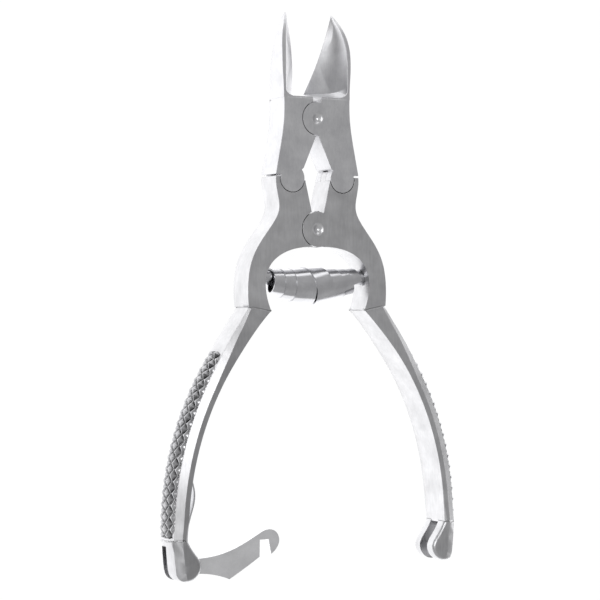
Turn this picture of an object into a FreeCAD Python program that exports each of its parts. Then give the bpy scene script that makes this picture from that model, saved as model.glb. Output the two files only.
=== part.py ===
"""Double-action nail nipper, open and unlocked, lying on its back face. Millimetres.

The model stands in its own frame: +X to the right, +Y towards the jaw tips, +Z out of the front face.
The origin is where the handle pivot's axis meets the joint's back face.
Each half is drawn for the right side and mirrored in the YZ plane for the left.
"""
import FreeCAD, Part
import math
import os

V = FreeCAD.Vector
os.makedirs("parts", exist_ok=True)

# Joint stack: each joint is a fork of two cheeks round a tongue
joint_thickness = 7.5
tongue_thickness = 2.4
slot_side_gap = 0.06
edge_break = 0.35

# Linkage
pivot_spacing = 27.6
knuckle_offset = 7.2
knuckle_height = 12.6
jaw_disc_radius = 4.1
handle_disc_radius = 4.4
knuckle_disc_radius = 3.4
recess_gap = 0.2
slot_end_gap = 0.6
seam_gap = 0.5
seam_rise = 0.7
arm_gap = 1.8
crotch_gap = 0.35

# Pivot pins
pivot_pin_radius = 1.65
knuckle_pin_radius = 1.3
running_play = 0.05
open_knuckle_play = 0.1
dimple_radius = 1.45
dimple_depth = 0.9

# Jaws
jaw_opening = 13.9
jaw_gap_shut = 0.1
jaw_reach = 27.0
jaw_half_width = 9.85
waist_half_width = 9.5
seam_half_width = 11.9
tail_inner_x = 4.0
tail_inner_rise = 2.6
ledge_height = 5.0
edge_heel_height = 7.2
edge_flat_height = 24.0
edge_flat_drop = 5.45
edge_curve = 0.0154
edge_land = 0.12
rim_width = 1.0
hollow_sag = 1.0

# Handles
grip_radius = 70.2
grip_centre_x = -33.1
grip_centre_y = -73.0
grip_depth = 9.0
flat_width = 1.1
grip_edge = 3.75
grip_edge_half = 3.2
grip_crown = 4.65
neck_edge = 3.05
neck_crown = 3.4
grip_top_angle = 35.5
grip_end_angle = -1.2
cusp_angle = 48.5
arch_half_span = 15.0
arch_drop = 4.7
shoulder_half_width = 19.9
handle_waist = 11.1
handle_waist_height = 4.8

# Knurl
knurl_pitch = 1.65
knurl_depth = 0.5
knurl_slant = 45.0
knurl_half_angle = 46.0

# Feet
foot_thickness = 8.6
foot_bulge = 3.3
foot_bottom = 85.1
foot_round = 0.9
foot_pin_x = 37.2
foot_pin_y = -81.9
foot_pin_radius = 1.1
slot_top_rise = 5.4
catch_slot_width = 3.2
catch_slot_rise = 10.4
catch_wall = 1.5

# Lock strap and its leaf spring
strap_thickness = 1.8
strap_side_gap = 0.12
strap_eye_radius = 2.25
strap_rise = 10.2
hook_slot_width = 2.5
leaf_thickness = 0.4
leaf_bow = 2.4
leaf_rivet_radius = 0.8

# Barrel spring
spring_turns = 6.6
spring_mid_radius = 4.5
spring_step = 0.6
spring_pitch = 2.85
spring_spread = 1.45
strip_width = 5.2
strip_thickness = 0.3
spring_sag = 2.1
spring_drop = 12.0
stud_radius = 1.75
stud_length = 3.4

# Places worked out from the sizes above
half = joint_thickness / 2
tongue_half = tongue_thickness / 2
slot_half = tongue_half + slot_side_gap
jaw_pivot = V(0, pivot_spacing, 0)
handle_pivot = V(0, 0, 0)
knuckle = V(knuckle_offset, knuckle_height, 0)
seam_low = knuckle_height + seam_rise - seam_gap / 2
seam_high = seam_low + seam_gap
opening = math.radians(jaw_opening)
grip_centre = V(grip_centre_x, grip_centre_y, 0)
grip_half = grip_depth / 2
foot_half = foot_thickness / 2
foot_pin = V(foot_pin_x, foot_pin_y, 0)
strap_half = strap_thickness / 2
strap_slot_half = strap_half + strap_side_gap

# How far each handle turns to shut the jaws, and how far apart the feet's pins then are
jaw_turn = math.radians(jaw_opening - jaw_gap_shut)
link_length = math.hypot(knuckle_offset, pivot_spacing - knuckle_height)
link_angle = math.atan2(knuckle_offset, pivot_spacing - knuckle_height) + jaw_turn
arm_length = math.hypot(knuckle_offset, knuckle_height)
arm_angle = math.asin(link_length * math.sin(link_angle) / arm_length)
handle_turn = arm_angle - math.atan2(knuckle_offset, knuckle_height)
foot_angle = math.atan2(foot_pin_x, -foot_pin_y)
strap_reach = 2 * math.hypot(foot_pin_x, foot_pin_y) * math.sin(foot_angle - handle_turn)


def line(a, b):
    return Part.makeLine(V(*a), V(*b))


def curve(points):
    """Smooth edge through the points."""
    spline = Part.BSplineCurve()
    spline.interpolate([V(*p) for p in points])
    return spline.toShape()


def plate(edges, low, high):
    """Closed plan outline raised from low to high."""
    face = Part.Face(Part.Wire(edges))
    return face.extrude(V(0, 0, high - low)).translated(V(0, 0, low))


def cylinder(centre, radius, low, high):
    return Part.makeCylinder(radius, high - low, V(centre.x, centre.y, low))


def mirrored(shape):
    return shape.mirror(V(0, 0, 0), V(1, 0, 0))


def polar(angle, n, z):
    """Point of the grip: n outwards from its inner face, at an angle round the grip's centre."""
    turn = math.radians(angle)
    radius = grip_radius + n
    return V(grip_centre.x + radius * math.cos(turn), grip_centre.y + radius * math.sin(turn), z)


# Jaws

def edge_height(rise):
    """Z of the cutting edge, by the height above the jaw pivot: the edge is hollow seen from the side."""
    return half - edge_flat_drop - edge_curve * (edge_flat_height - rise) ** 2


def edge_x(rise):
    return rise * math.tan(opening)


def rim_height(rise):
    """Z of the jaw's front rim, which falls away towards the tip."""
    ahead = max(0.0, rise - edge_heel_height)
    return half - 0.0105 * ahead ** 2 - 0.0000245 * ahead ** 4


def jaw_plan():
    """Plan outline of the right jaw, from tip to tail, without its round cheeks."""
    pivot_y = jaw_pivot.y
    tip = (jaw_reach * math.sin(opening), pivot_y + jaw_reach * math.cos(opening), 0)
    tail = (seam_half_width, seam_high, 0)
    outer = curve([
        tip,
        (jaw_half_width - 1.4, pivot_y + 23.7, 0),
        (jaw_half_width - 0.3, pivot_y + 20.6, 0),
        (jaw_half_width, pivot_y + 16.5, 0),
        (waist_half_width + 0.05, pivot_y + 8.0, 0),
        (waist_half_width, pivot_y, 0),
        ((waist_half_width + seam_half_width) / 2, (pivot_y + seam_high) / 2 - 0.9, 0),
        tail,
    ])
    inner = (tail_inner_x, knuckle_height + tail_inner_rise, 0)
    crotch = (crotch_gap, pivot_y - jaw_disc_radius - recess_gap, 0)
    return [
        line(jaw_pivot, tip),
        outer,
        line(tail, (knuckle.x + knuckle_disc_radius * 0.9, seam_high, 0)),
        line((knuckle.x + knuckle_disc_radius * 0.9, seam_high, 0), knuckle),
        line(knuckle, inner),
        line(inner, crotch),
        line(crotch, jaw_pivot),
    ]


def section_loft(stations, outline):
    """Solid through closed outlines, one at each height above the jaw pivot."""
    return Part.makeLoft([Part.Wire(outline(rise)) for rise in stations], True, False)


def back_outline(rise):
    """What lies behind the blade's crowned back at one height."""
    y = jaw_pivot.y + rise
    x_edge, z_edge = edge_x(rise), edge_height(rise) - edge_land
    x_far = jaw_half_width + 2
    z_far = -half + 0.35 + 0.0082 * rise ** 2 - 0.000011 * rise ** 4
    z_far = min(z_far, z_edge + 1.1 + 0.1 * (jaw_reach - rise))
    crown = 0.25 + 0.04 * (jaw_reach - rise)
    middle = ((x_edge + x_far) / 2, y, (z_edge + z_far) / 2 - crown)
    start = (x_edge, y, z_edge)
    before = (x_edge - 2, y, z_edge - 0.4)
    deep = -half - 8
    return [
        line(before, start),
        Part.Arc(V(*start), V(*middle), V(x_far, y, z_far)).toShape(),
        line((x_far, y, z_far), (x_far, y, deep)),
        line((x_far, y, deep), (x_edge - 2, y, deep)),
        line((x_edge - 2, y, deep), before),
    ]


def facet_width(rise):
    """Width of the honed facet along the edge: broad at the heel, a leaf shape near the tip."""
    heel = max(0.0, 5.6 * (1 - (rise - edge_heel_height) / 6.0))
    leaf = 1.7 * math.exp(-((rise - 21.3) / 3.0) ** 2)
    return 0.25 + heel + leaf


def hollow_outline(rise):
    """What the grinding wheel takes from the blade's front at one height."""
    y = jaw_pivot.y + rise
    x_edge, z_edge = edge_x(rise), edge_height(rise)
    heel = max(0.0, edge_heel_height - rise)
    z_edge = z_edge + 1.0 * heel + 0.42 * heel ** 2
    x_rim = rim_x(rise)
    z_rim = rim_height(rise)
    chord = math.atan2(z_rim - z_edge, x_rim - x_edge)
    reach = math.hypot(z_rim - z_edge, x_rim - x_edge)
    width = min(facet_width(rise), 0.55 * reach)
    facet = chord + math.radians(9) * (1 - width / reach)
    start = (x_edge - 2, y, z_edge - 2 * math.tan(facet))
    facet_end = (x_edge + width * math.cos(facet), y, z_edge + width * math.sin(facet))
    sag = hollow_sag * (1 - width / reach) * min(1, reach / 8)
    middle = (
        (facet_end[0] + x_rim) / 2 + sag * math.sin(chord),
        y,
        (facet_end[2] + z_rim) / 2 - sag * math.cos(chord),
    )
    high = half + 6
    return [
        line(start, facet_end),
        Part.Arc(V(*facet_end), V(*middle), V(x_rim, y, z_rim)).toShape(),
        line((x_rim, y, z_rim), (x_rim, y, high)),
        line((x_rim, y, high), (x_edge - 2, y, high)),
        line((x_edge - 2, y, high), start),
    ]


def rim_x(rise):
    """X of the rim's inner side, which follows the jaw's plan and meets the edge at the tip."""
    wide = jaw_half_width - rim_width - 0.3 + 0.02 * (rise - ledge_height)
    ahead = max(0.0, rise - 15.5)
    return max(edge_x(rise) + 0.25, wide - 0.006 * ahead ** 2 - 0.00135 * ahead ** 3)


def side_profile(points, depth):
    """Bar across the jaw whose side view is a polygon with a smooth top: cuts the rim's fall."""
    smooth = curve([(0, y, z) for y, z in points])
    first, last = points[0], points[-1]
    far = half + 8
    wire = Part.Wire([
        smooth,
        line((0, last[0], last[1]), (0, last[0], far)),
        line((0, last[0], far), (0, first[0], far)),
        line((0, first[0], far), (0, first[0], first[1])),
    ])
    return Part.Face(wire).extrude(V(depth, 0, 0))


def jaw_head():
    """The forged and ground right jaw before its joints are cut."""
    deep = -half - 4.5
    body = plate(jaw_plan(), -half, half)
    blade_low = ledge_height - 1.2
    blade = plate(jaw_plan(), deep, half)
    blade = blade.common(Part.makeBox(
        40, jaw_reach + 4, 2 * half + 9, V(-20, jaw_pivot.y + blade_low, deep)))
    back_stations = [blade_low - 1, 4.6, 7.2, 10, 13.5, 17, 20.5, 24, jaw_reach + 1]
    blade = blade.cut(section_loft(back_stations, back_outline))
    heel_y = jaw_pivot.y + blade_low
    heel_round = 2.6
    heel_cut = Part.makeBox(40, heel_round, 6, V(-20, heel_y - 0.01, -half - 6))
    heel_bar = Part.makeCylinder(
        heel_round, 40, V(-20, heel_y + heel_round, -half), V(1, 0, 0))
    blade = blade.cut(heel_cut.cut(heel_bar))
    head = body.fuse(blade)
    rim_points = [
        (jaw_pivot.y + rise, rim_height(rise)) for rise in (6.5, 10, 14, 18, 21, 23.5, 25.5, 27.2)]
    head = head.cut(side_profile(rim_points, 20).translated(V(-2, 0, 0)))
    stations = [ledge_height, 5.8, 6.5, edge_heel_height, 9.5, 12.5, 15.5, 18.5, 21.5, 24.5, 27.4]
    head = head.cut(section_loft(stations, hollow_outline))
    return head.removeSplitter()


def jaw(is_fork):
    """Right jaw with its joint: a fork at the jaw pivot, or a tongue. Its tail is always a fork."""
    shape = jaw_head()
    shape = shape.fuse(cylinder(knuckle, knuckle_disc_radius, -half, half))
    slot_radius = jaw_disc_radius + slot_end_gap
    if is_fork:
        shape = shape.fuse(cylinder(jaw_pivot, jaw_disc_radius, -half, half))
        shape = shape.cut(cylinder(jaw_pivot, slot_radius, -slot_half, slot_half))
        shape = shape.cut(cylinder(jaw_pivot, pivot_pin_radius, -half - 1, half + 1))
    else:
        recess = jaw_disc_radius + recess_gap
        shape = shape.cut(cylinder(jaw_pivot, recess, tongue_half, half + 1))
        shape = shape.cut(cylinder(jaw_pivot, recess, -half - 1, -tongue_half))
        shape = shape.fuse(cylinder(jaw_pivot, jaw_disc_radius, -tongue_half, tongue_half))
        bore = pivot_pin_radius + running_play
        shape = shape.cut(cylinder(jaw_pivot, bore, -half - 1, half + 1))
    tail_slot = knuckle_disc_radius + slot_end_gap / 2
    shape = shape.cut(cylinder(knuckle, tail_slot, -slot_half, slot_half))
    shape = shape.cut(cylinder(knuckle, knuckle_pin_radius, -half - 1, half + 1))
    return shape.removeSplitter()


# Handles

def arm_plan():
    """Plan outline of the right upper arm and its half of the arch."""
    cusp = polar(cusp_angle, 0, 0)
    outer_low = polar(cusp_angle - 3, 5.2, 0)
    seam = (seam_half_width, seam_low, 0)
    inner_top = (knuckle.x - knuckle_disc_radius - recess_gap, knuckle.y - 0.4, 0)
    inner_low = (arm_gap, handle_disc_radius, 0)
    crotch_angle = math.radians(72.6)
    reach = handle_disc_radius + recess_gap
    crotch = (reach * math.cos(crotch_angle), -reach * math.sin(crotch_angle), 0)
    outer = curve([
        seam,
        ((seam_half_width + handle_waist) / 2, (seam_low + handle_waist_height) / 2, 0),
        (handle_waist, handle_waist_height, 0),
        (handle_waist + 1.6, handle_waist_height - 3.3, 0),
        (shoulder_half_width - 4.2, -2.4, 0),
        (shoulder_half_width - 1.1, -7.8, 0),
        (shoulder_half_width, -13.8, 0),
        outer_low,
    ])
    arch = curve([
        crotch,
        (5.6, -arch_drop, 0),
        (arch_half_span - 4.7, -arch_drop - 1.5, 0),
        (arch_half_span - 1.3, -arch_drop - 4.4, 0),
        (arch_half_span, -arch_drop - 9.2, 0),
        (arch_half_span - 0.5, -arch_drop - 12.7, 0),
        cusp,
    ])
    knuckle_side = (knuckle.x + knuckle_disc_radius * 0.9, seam_low, 0)
    return [
        line(handle_pivot, inner_low),
        line(inner_low, inner_top),
        line(inner_top, knuckle),
        line(knuckle, knuckle_side),
        line(knuckle_side, seam),
        outer,
        line(outer_low, cusp),
        arch.reversed(),
        line(crotch, handle_pivot),
    ]


def grip_section(angle, flat, edge, edge_half, crown, depth):
    """Section of the grip: flat inner face, bevelled front and back, crowned outer face."""
    inner = [polar(angle, 0, -depth), polar(angle, 0, depth)]
    flats = [polar(angle, flat, -depth), polar(angle, flat, depth)]
    edges = [polar(angle, edge, -edge_half), polar(angle, edge, edge_half)]
    return Part.Wire([
        Part.makeLine(inner[0], flats[0]),
        Part.makeLine(flats[0], edges[0]),
        Part.Arc(edges[0], polar(angle, crown, 0), edges[1]).toShape(),
        Part.makeLine(edges[1], flats[1]),
        Part.makeLine(flats[1], inner[1]),
        Part.makeLine(inner[1], inner[0]),
    ])


def neck():
    """Right handle between the arch and the knurled panel, where the bevels grow out of the flat."""
    bevel = neck_bevel_half()
    return Part.makeLoft([
        grip_section(cusp_angle - 0.2, 5.3, 5.5, half - edge_break, 5.7, half),
        grip_section(cusp_angle - 3.2, 4.3, 4.9, half - 0.4, 5.15, half + 0.1),
        grip_section(41.0, 2.4, 3.6, 3.5, 3.95, half + 0.45),
        grip_section(38.0, 1.5, 3.2, 3.5, 3.6, grip_half - 0.1),
        grip_section(grip_top_angle - 0.5, flat_width, neck_edge, bevel, neck_crown, grip_half),
    ], True, False)


def neck_bevel_half():
    """Half width where the grip's bevel passes the neck's outer edge."""
    slope = (grip_half - grip_edge_half) / (grip_edge - flat_width)
    return grip_half - slope * (neck_edge - flat_width)


def turned_grip(wire, start, end):
    """Grip section turned round the grip's centre from one angle to another."""
    return Part.Face(wire).revolve(grip_centre, V(0, 0, 1), end - start)


def knurl_groove(angle, slant):
    """V groove across the crown of the panel: part of a ring that follows the crown's curvature."""
    slant_turn = math.radians(slant)
    crown_radius = (grip_edge_half ** 2 + (grip_crown - grip_edge) ** 2) / (2 * (grip_crown - grip_edge))
    length_radius = grip_radius + grip_crown
    bend = math.cos(slant_turn) ** 2 / crown_radius + math.sin(slant_turn) ** 2 / length_radius
    ring = 1 / bend
    turn = math.radians(angle)
    out = V(math.cos(turn), math.sin(turn), 0)
    along = V(-math.sin(turn), math.cos(turn), 0)
    axis = along * math.cos(slant_turn) - V(0, 0, 1) * math.sin(slant_turn)
    centre = polar(angle, grip_crown - ring, 0)
    rise = knurl_depth + 0.5
    spread = rise * math.tan(math.radians(knurl_half_angle))
    sweep = 2 * math.degrees(math.asin(grip_edge_half / math.cos(slant_turn) / ring)) + 14
    root = centre + out * (ring - knurl_depth)
    left = centre + out * (ring - knurl_depth + rise) + axis * spread
    right = centre + out * (ring - knurl_depth + rise) - axis * spread
    profile = Part.Face(Part.makePolygon([root, left, right, root]))
    profile = profile.rotate(centre, axis, -sweep / 2)
    return profile.revolve(centre, axis, sweep)


def knurled_panel():
    """Raised panel on the outer face, cut by two crossing sets of V grooves into pyramids."""
    wire = grip_section(grip_end_angle, flat_width, grip_edge, grip_edge_half, grip_crown, grip_half)
    panel = turned_grip(wire, grip_end_angle, grip_top_angle)
    step = math.degrees(knurl_pitch / (grip_radius + grip_crown))
    count = int((grip_top_angle - grip_end_angle) / step) + 5
    for slant in (knurl_slant, -knurl_slant):
        grooves = [knurl_groove(grip_end_angle + (i - 2) * step, slant) for i in range(count)]
        panel = panel.cut(grooves)
    return panel


def foot_plan():
    """Plan outline of the right foot, whose toe bulges inwards."""
    top = foot_pin_y + 10
    inner_x = grip_centre.x + grip_radius
    outer_x = inner_x + neck_edge + 0.5
    toe = inner_x - foot_bulge
    inner = curve([
        (inner_x, top, 0),
        (inner_x - 0.35, foot_pin_y + 6.2, 0),
        (inner_x - 1.9, foot_pin_y + 3.4, 0),
        (toe, foot_pin_y + 0.4, 0),
        (toe + 0.9, foot_pin_y - 1.9, 0),
        (toe + 3.1, -foot_bottom, 0),
    ])
    outer = curve([
        (toe + 3.1, -foot_bottom, 0),
        (outer_x - 1.7, -foot_bottom + 0.5, 0),
        (outer_x - 0.6, foot_pin_y - 0.2, 0),
        (outer_x, foot_pin_y + 4, 0),
        (outer_x, top, 0),
    ])
    return [inner, outer, line((outer_x, top, 0), (inner_x, top, 0))]


def foot():
    """Right foot: the toe plate, kept inside the grip's bevelled section carried on round the curve."""
    toe = plate(foot_plan(), -foot_half, foot_half)
    toe = toe.makeFillet(foot_round, [e for e in toe.Edges if is_toe_edge(e)])
    end_angle = grip_end_angle - 14
    shift = foot_bulge + 2
    low = [polar(end_angle, -shift, -grip_half), polar(end_angle, -shift, grip_half)]
    bevel = neck_bevel_half()
    wire = Part.makePolygon([
        low[0],
        polar(end_angle, flat_width, -grip_half),
        polar(end_angle, neck_edge + 0.3, -bevel + 0.15),
        polar(end_angle, neck_crown + 0.2, 0),
        polar(end_angle, neck_edge + 0.3, bevel - 0.15),
        polar(end_angle, flat_width, grip_half),
        low[1],
        low[0],
    ])
    band = Part.Face(wire).revolve(grip_centre, V(0, 0, 1), 18)
    return toe.common(band)


def is_toe_edge(edge):
    """The curved front and back edges of the toe plate's inner side."""
    flat = abs(edge.BoundBox.ZMax - edge.BoundBox.ZMin) < 1e-6
    return flat and edge.Length > 9 and edge.BoundBox.XMin < grip_centre.x + grip_radius - 1


def handle_blank():
    """Right handle in one forging, before its joints and slots are cut."""
    arm = plate(arm_plan(), -half, half)
    blank = arm.fuse([neck(), knurled_panel(), foot()])
    return blank


def handle(blank, is_fork):
    """Right handle with its joint at the handle pivot: a fork, or a tongue. Its knuckle is a tongue."""
    recess = knuckle_disc_radius + recess_gap
    shape = blank.cut([
        cylinder(knuckle, recess, tongue_half, half + 1),
        cylinder(knuckle, recess, -half - 1, -tongue_half),
    ])
    shape = shape.fuse(cylinder(knuckle, knuckle_disc_radius, -tongue_half, tongue_half))
    if is_fork:
        slot = handle_disc_radius + slot_end_gap
        shape = shape.fuse(cylinder(handle_pivot, handle_disc_radius, -half, half))
        shape = shape.cut(cylinder(handle_pivot, slot, -slot_half, slot_half))
        bore, play = pivot_pin_radius, open_knuckle_play
    else:
        recess = handle_disc_radius + recess_gap
        shape = shape.cut([
            cylinder(handle_pivot, recess, tongue_half, half + 1),
            cylinder(handle_pivot, recess, -half - 1, -tongue_half),
        ])
        shape = shape.fuse(cylinder(handle_pivot, handle_disc_radius, -tongue_half, tongue_half))
        bore, play = pivot_pin_radius + running_play, running_play
    shape = shape.cut([
        cylinder(handle_pivot, bore, -half - 1, half + 1),
        cylinder(knuckle, knuckle_pin_radius + play, -half - 1, half + 1),
        cylinder(foot_pin, foot_pin_radius, -grip_half - 1, grip_half + 1),
    ])
    return shape


def foot_slot(half_width, rise, wall):
    """Slot across the toe, which runs on up the inner face as a pocket when it leaves a wall."""
    through = Part.makeBox(
        20, slot_top_rise + 12, 2 * half_width,
        V(foot_pin.x - 10, foot_pin.y - 12, -half_width))
    if rise <= slot_top_rise:
        return through
    inner_x = grip_centre.x + grip_radius
    pocket = Part.makeBox(
        10 + neck_edge - wall, rise, 2 * half_width, V(inner_x - 10, foot_pin.y, -half_width))
    return through.fuse(pocket)


def right_handle(blank):
    return handle(blank, True).cut(foot_slot(catch_slot_width / 2, catch_slot_rise, catch_wall))


def left_handle(blank):
    shape = handle(blank, False).cut(foot_slot(strap_slot_half, slot_top_rise, catch_wall))
    shape = shape.cut(leaf_rivet(0.0))
    return mirrored(shape)


# Pins

def pivot_pin(centre):
    """Rivet as long as the joint is thick, with a dimple punched in its front end."""
    pin = cylinder(centre, pivot_pin_radius, -half, half)
    dimple = Part.makeCone(
        dimple_radius, dimple_radius * 0.25, dimple_depth, V(centre.x, centre.y, half), V(0, 0, -1))
    return pin.cut(dimple)


def knuckle_pin():
    return cylinder(knuckle, knuckle_pin_radius, -half, half)


def foot_cross_pin():
    return cylinder(foot_pin, foot_pin_radius, -foot_half, foot_half)


# Lock strap and leaf spring, drawn on the right and mirrored to the left foot

def lock_strap():
    """Stamped hook plate: an eye on the foot's pin, a waisted body and a hook that opens downwards."""
    px, py = foot_pin.x, foot_pin.y
    eye = strap_eye_radius
    slot_x = px - strap_reach * math.cos(math.radians(strap_rise))
    wall_in = slot_x + hook_slot_width / 2
    wall_out = slot_x - hook_slot_width / 2
    slot_top = py + strap_reach * math.sin(math.radians(strap_rise)) + foot_pin_radius + 0.08
    top = curve([
        (px, py + eye, 0),
        (px - 6.5, py + 1.9, 0),
        (px - 14.1, py + 3.4, 0),
        (px - 21.6, py + 6.9, 0),
        (slot_x - 0.8, slot_top + 2.4, 0),
        (wall_out - 2.2, slot_top + 1.6, 0),
        (wall_out - 3.0, slot_top - 0.5, 0),
        (wall_out - 2.2, slot_top - 2.4, 0),
        (wall_out - 0.7, slot_top - 3.7, 0),
    ])
    prong = (wall_out - 0.7, slot_top - 3.7, 0)
    cusp = (px - 13.1, py - 3.8, 0)
    lip = (wall_in + 0.1, slot_top - 4.2, 0)
    body_low = Part.Arc(
        V(*lip), V(px - 17.4, py - 1.4, 0), V(*cusp)).toShape()
    eye_low = Part.Arc(
        V(*cusp), V(px - 7.2, py - 2.1, 0), V(px - 1.2, py - eye * 0.85, 0)).toShape()
    edges = [
        top,
        line(prong, (wall_out, slot_top, 0)),
        line((wall_out, slot_top, 0), (wall_in, slot_top, 0)),
        line((wall_in, slot_top, 0), lip),
        body_low,
        eye_low,
        line((px - 1.2, py - eye * 0.85, 0), (px, py + eye, 0)),
    ]
    strap = plate(edges, -strap_half, strap_half)
    strap = strap.fuse(cylinder(foot_pin, eye, -strap_half, strap_half))
    bore = cylinder(foot_pin, foot_pin_radius + running_play, -half, half)
    return mirrored(strap.cut(bore).removeSplitter())


def leaf_path(offset):
    """Side curve of the leaf spring, offset from its middle line towards the grip's inner face."""
    angles_and_bows = [
        (17.0, 0.0), (14.5, 0.0), (12.0, 0.35), (7.5, leaf_bow), (3.0, leaf_bow * 0.8), (-3.0, 0.9)]
    lift = leaf_thickness / 2 + 0.02
    return [tuple(polar(angle, -bow - lift + offset, 0)) for angle, bow in angles_and_bows]


def leaf_spring():
    """Bowed strip riveted to the grip's inner face, whose free end lies on the strap's eye."""
    near = leaf_path(leaf_thickness / 2)
    far = leaf_path(-leaf_thickness / 2)
    edges = [curve(near), line(near[-1], far[-1]), curve(far), line(far[0], near[0])]
    strip = plate(edges, -strap_half, strap_half)
    return mirrored(strip.cut(leaf_rivet(0.0)))


def leaf_rivet(extra):
    """Rivet through the leaf into the grip, with a low round head."""
    seat = polar(15.7, 2.2, 0)
    head_at = polar(15.7, -leaf_thickness - 0.02, 0)
    inwards = head_at - seat
    shank = Part.makeCylinder(leaf_rivet_radius + extra, inwards.Length, seat, inwards)
    return shank


def rivet_with_head():
    head_at = polar(15.7, -leaf_thickness - 0.02, 0)
    inwards = head_at - polar(15.7, 2.2, 0)
    inwards.normalize()
    head = Part.makeSphere(1.35, head_at - inwards * 0.75)
    keep = Part.makeCylinder(2, 2, head_at, inwards)
    return mirrored(leaf_rivet(0.0).fuse(head.common(keep)).removeSplitter())


# Barrel spring and its studs

def spring_axis(x):
    """Y of the spring's bowed axis."""
    return -spring_drop - spring_sag * (1 - (x / arch_half_span) ** 2)


def strip_point(turn, side, skin):
    """Corner of the wound strip: side is -1 or 1 across its width, skin -1 or 1 through it."""
    apart = spring_pitch * abs(turn) + spring_spread * (1 - math.exp(-(turn / 0.25) ** 2))
    along = math.copysign(apart, turn)
    radius = spring_mid_radius - spring_step * (math.hypot(turn, 0.1) - 0.1)
    radius = radius + skin * strip_thickness / 2
    angle = 2 * math.pi * turn
    slope = 2 * spring_sag * along / arch_half_span ** 2
    up = radius * math.cos(angle)
    across = side * strip_width / 2
    return V(along + across - slope * up, spring_axis(along) + up + slope * across, radius * math.sin(angle))


def strip_rail(side, skin):
    """Long edge of the wound strip."""
    count = int(spring_turns * 24)
    turns = [(i / count - 0.5) * spring_turns for i in range(count + 1)]
    spline = Part.BSplineCurve()
    spline.interpolate([strip_point(turn, side, skin) for turn in turns])
    return spline.toShape()


def barrel_spring():
    """One flat strip wound as a double volute, widest in the middle, each turn lapping the next."""
    corners = ((-1, -1), (1, -1), (1, 1), (-1, 1))
    rails = [strip_rail(side, skin) for side, skin in corners]
    faces = [Part.makeRuledSurface(rails[i], rails[(i + 1) % 4], 1) for i in range(4)]
    for turn in (-spring_turns / 2, spring_turns / 2):
        ends = [strip_point(turn, side, skin) for side, skin in corners]
        faces.append(Part.Face(Part.makePolygon(ends + [ends[0]])))
    shell = Part.makeShell(faces)
    shell.sewShape()
    solid = Part.makeSolid(shell)
    solid.fix(1e-4, 1e-4, 1e-3)
    if solid.Volume < 0:
        solid.reverse()
    return solid


def spring_stud():
    """Peg on the arch's inner wall that centres the spring's end."""
    foot_x = arch_half_span + 0.9
    peg = Part.makeCylinder(
        stud_radius, stud_length + 0.9, V(foot_x, -spring_drop, 0), V(-1, 0, 0))
    return peg


def write(name, shape):
    """Lays the piece on the joint's back face and writes it."""
    placed = shape.translated(V(0, 0, half))
    placed.exportStep("parts/" + name + ".step")
    print(name, len(placed.Solids), "solid", placed.isValid(), round(placed.Volume, 3))


def main():
    blank = handle_blank()
    stud = spring_stud()
    write("right_jaw", jaw(True))
    write("left_jaw", mirrored(jaw(False)))
    write("right_handle", right_handle(blank).cut(stud))
    write("left_handle", left_handle(blank).cut(mirrored(stud)))
    write("jaw_pivot_pin", pivot_pin(jaw_pivot))
    write("handle_pivot_pin", pivot_pin(handle_pivot))
    write("right_knuckle_pin", knuckle_pin())
    write("left_knuckle_pin", mirrored(knuckle_pin()))
    write("catch_pin", foot_cross_pin())
    write("strap_pivot_pin", mirrored(foot_cross_pin()))
    write("lock_strap", lock_strap())
    write("strap_leaf_spring", leaf_spring())
    write("leaf_spring_rivet", rivet_with_head())
    write("barrel_spring", barrel_spring())
    write("right_spring_stud", stud)
    write("left_spring_stud", mirrored(stud))


main()
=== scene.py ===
"""Double-action nail nipper in satin stainless steel, open and unlocked, lying on its back face."""
import math

import bmesh
import bpy
from mathutils import Matrix, Vector


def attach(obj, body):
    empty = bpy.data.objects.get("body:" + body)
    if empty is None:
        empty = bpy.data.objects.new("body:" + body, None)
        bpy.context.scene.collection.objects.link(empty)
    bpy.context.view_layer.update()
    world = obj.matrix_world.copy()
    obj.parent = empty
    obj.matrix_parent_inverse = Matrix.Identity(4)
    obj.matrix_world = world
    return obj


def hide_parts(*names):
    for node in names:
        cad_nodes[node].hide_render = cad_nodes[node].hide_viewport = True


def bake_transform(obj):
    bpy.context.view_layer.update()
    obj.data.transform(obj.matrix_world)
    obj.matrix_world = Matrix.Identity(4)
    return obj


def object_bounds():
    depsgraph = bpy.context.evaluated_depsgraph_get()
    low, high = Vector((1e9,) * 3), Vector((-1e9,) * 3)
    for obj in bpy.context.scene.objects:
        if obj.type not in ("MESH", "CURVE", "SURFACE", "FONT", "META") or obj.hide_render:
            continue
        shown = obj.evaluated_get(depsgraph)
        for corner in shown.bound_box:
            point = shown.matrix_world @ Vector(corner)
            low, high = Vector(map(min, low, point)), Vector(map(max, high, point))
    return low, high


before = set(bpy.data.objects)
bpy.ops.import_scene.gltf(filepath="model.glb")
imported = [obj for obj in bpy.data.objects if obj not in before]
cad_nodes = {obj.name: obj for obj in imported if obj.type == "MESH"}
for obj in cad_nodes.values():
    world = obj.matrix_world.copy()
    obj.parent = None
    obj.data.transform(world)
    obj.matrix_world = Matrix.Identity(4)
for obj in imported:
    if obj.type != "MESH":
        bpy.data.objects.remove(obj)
cad_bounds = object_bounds()
MM = 0.001


# Handles
# Each handle is one drop forging of martensitic stainless steel, milled at the joint.
# It is belt ground and then glass-bead satined, which leaves a soft, slightly streaked grey.

def linear(hex_colour):
    """sRGB hex value as the linear colour that a shader takes."""
    channels = [int(hex_colour[i:i + 2], 16) / 255 for i in (1, 3, 5)]
    curve = [c / 12.92 if c <= 0.04045 else ((c + 0.055) / 1.055) ** 2.4 for c in channels]
    return (*curve, 1.0)


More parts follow.
